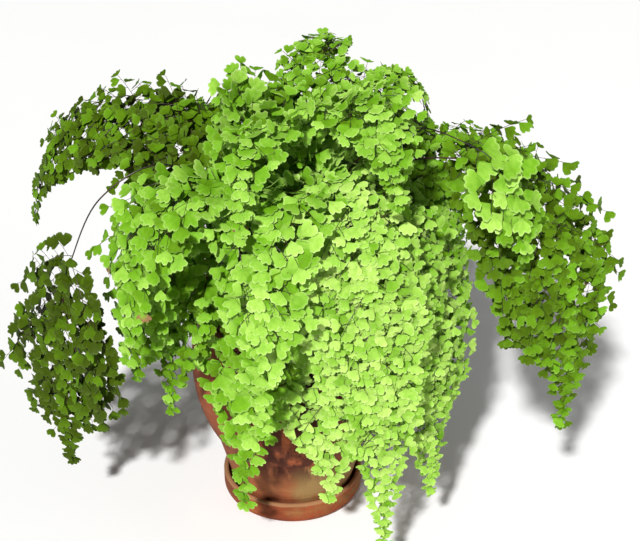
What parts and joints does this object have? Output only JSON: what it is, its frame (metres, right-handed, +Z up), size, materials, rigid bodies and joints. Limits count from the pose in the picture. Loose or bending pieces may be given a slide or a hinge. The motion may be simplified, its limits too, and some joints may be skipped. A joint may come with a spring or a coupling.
{
  "type": "potted maidenhair fern",
  "caption": "Maidenhair fern with arching, drooping fronds of small fan-shaped leaflets, growing in a round-bellied clay pot that stands in a deep clay saucer.",
  "frame": {"origin": "centre of the saucer's flat underside, on the surface that the plant stands on", "axes": "+Z up along the pot's axis; the front, where the longest fronds hang over the pot, faces -Y; +X to the right"},
  "size_m": [0.5576, 0.4072, 0.4569],
  "materials": {
    "terracotta": "matte",
    "potting_soil": "matte",
    "rhizome": "matte",
    "stalk": "satin",
    "leaf": "satin",
    "young_leaf": "satin"
  },
  "bodies": {
    "root": {"saucer": "terracotta", "pot": "terracotta", "soil": "potting_soil", "crown": "rhizome", "stem_front_left": "stalk", "blade_front_left": "leaf", "stem_front_middle": "stalk", "blade_front_middle": "leaf", "stem_right_front": "stalk", "blade_right_front": "leaf", "stem_right_low": "stalk", "blade_right_low": "leaf", "stem_right_hanging": "stalk", "blade_right_hanging": "leaf", "stem_left_low": "stalk", "blade_left_low": "leaf", "stem_back_right_low": "stalk", "blade_back_right_low": "leaf", "stem_back_low": "stalk", "blade_back_low": "leaf", "stem_back_left_low": "stalk", "blade_back_left_low": "leaf", "stem_left_arch": "stalk", "blade_left_arch": "leaf", "stem_left_long": "stalk", "blade_left_long": "leaf", "stem_left_middle": "stalk", "blade_left_middle": "leaf", "stem_left_fore": "stalk", "blade_left_fore": "leaf", "stem_fore_middle": "stalk", "blade_fore_middle": "leaf", "stem_fore_right": "stalk", "blade_fore_right": "leaf", "stem_front_right": "stalk", "blade_front_right": "leaf", "stem_right_fore": "stalk", "blade_right_fore": "leaf", "stem_young": "stalk", "blade_young": "young_leaf", "stem_right_long": "stalk", "blade_right_long": "leaf", "stem_right_arch": "stalk", "blade_right_arch": "leaf", "stem_back_right": "stalk", "blade_back_right": "leaf", "stem_back": "stalk", "blade_back": "leaf", "stem_back_left": "stalk", "blade_back_left": "leaf", "stem_top_left": "stalk", "blade_top_left": "leaf", "stem_top_front": "stalk", "blade_top_front": "leaf", "stem_top_right": "stalk", "blade_top_right": "leaf", "stem_top_back_right": "stalk", "blade_top_back_right": "leaf", "stem_top_back": "stalk", "blade_top_back": "leaf"}
  },
  "joints": []
}
